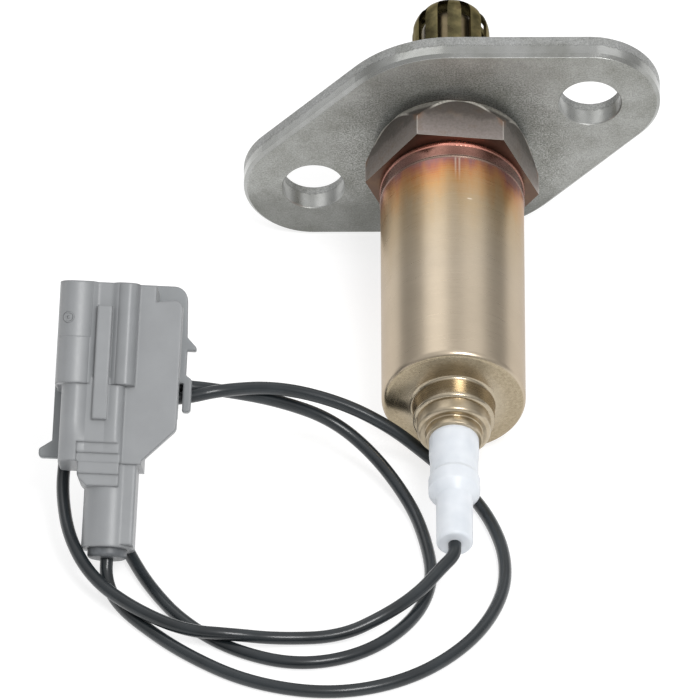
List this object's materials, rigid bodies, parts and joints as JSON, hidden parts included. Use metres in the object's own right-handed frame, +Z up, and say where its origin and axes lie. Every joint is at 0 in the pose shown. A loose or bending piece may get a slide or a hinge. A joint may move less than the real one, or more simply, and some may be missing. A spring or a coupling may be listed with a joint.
{
  "type": "oxygen sensor",
  "caption": "Oxygen sensor with an oval bolt-on flange, a hexagon, a smooth round metal cover, a white bush, and a single coiled lead that ends in a moulded connector.",
  "frame": {"origin": "on the surface that the sensor lies on, under the middle of the sensor without its lead and connector", "axes": "+Z up; +Y along the sensor towards its tip, which also rises a little that way, because the sensor lies on its flange's straight edge and on its cover's rim; -Y towards the lead; +X to the right as seen from the lead's side"},
  "size_m": [0.0903, 0.1342, 0.0382],
  "materials": {
    "flange_steel": "grey-brown, granular and matte",
    "housing_steel": "heat-darkened turned steel",
    "cover_steel": "satin, champagne tinted",
    "sleeve_steel": "satin, straw tinted",
    "bush_plastic": "smooth bluish white fluoropolymer",
    "tip_steel": "heat-tinted olive and brown",
    "inner_tip_steel": "satin",
    "element_ceramic": "sintered ceramic, standing in as gloss plastic",
    "washer_copper": "soft copper",
    "talc": "pressed powder, standing in as matte plastic",
    "ring_ceramic": "sintered ceramic, standing in as matte plastic",
    "ring_steel": "plain steel",
    "contact_steel": "bright pressed steel",
    "rod_steel": "bright drawn steel",
    "crimp_metal": "plain",
    "support_ceramic": "sintered ceramic, standing in as matte plastic",
    "spring_steel": "plain spring steel",
    "wire_jacket": "glossy black insulation",
    "seal_rubber": "dark grey silicone",
    "connector_plastic": "satin grey moulding",
    "terminal_metal": "plated",
    "holder_plastic": "satin grey moulding, slightly bluish"
  },
  "bodies": {
    "root": {"flange": "flange_steel", "housing": "housing_steel", "outer_cover": "cover_steel", "neck_sleeve": "sleeve_steel", "lead_bush": "bush_plastic", "protective_cover": "tip_steel", "inner_cover": "inner_tip_steel", "sensing_element": "element_ceramic", "seat_washer": "washer_copper", "talc_ring": "talc", "ceramic_ring": "ring_ceramic", "pressure_ring": "ring_steel", "inner_contact": "contact_steel", "contact_rod": "rod_steel", "crimp_sleeve": "crimp_metal", "support_tube": "support_ceramic", "disc_spring": "spring_steel", "lead_wire": "wire_jacket", "wire_seal": "seal_rubber", "connector_housing": "connector_plastic", "connector_terminal": "terminal_metal", "rear_holder": "holder_plastic"}
  },
  "joints": []
}
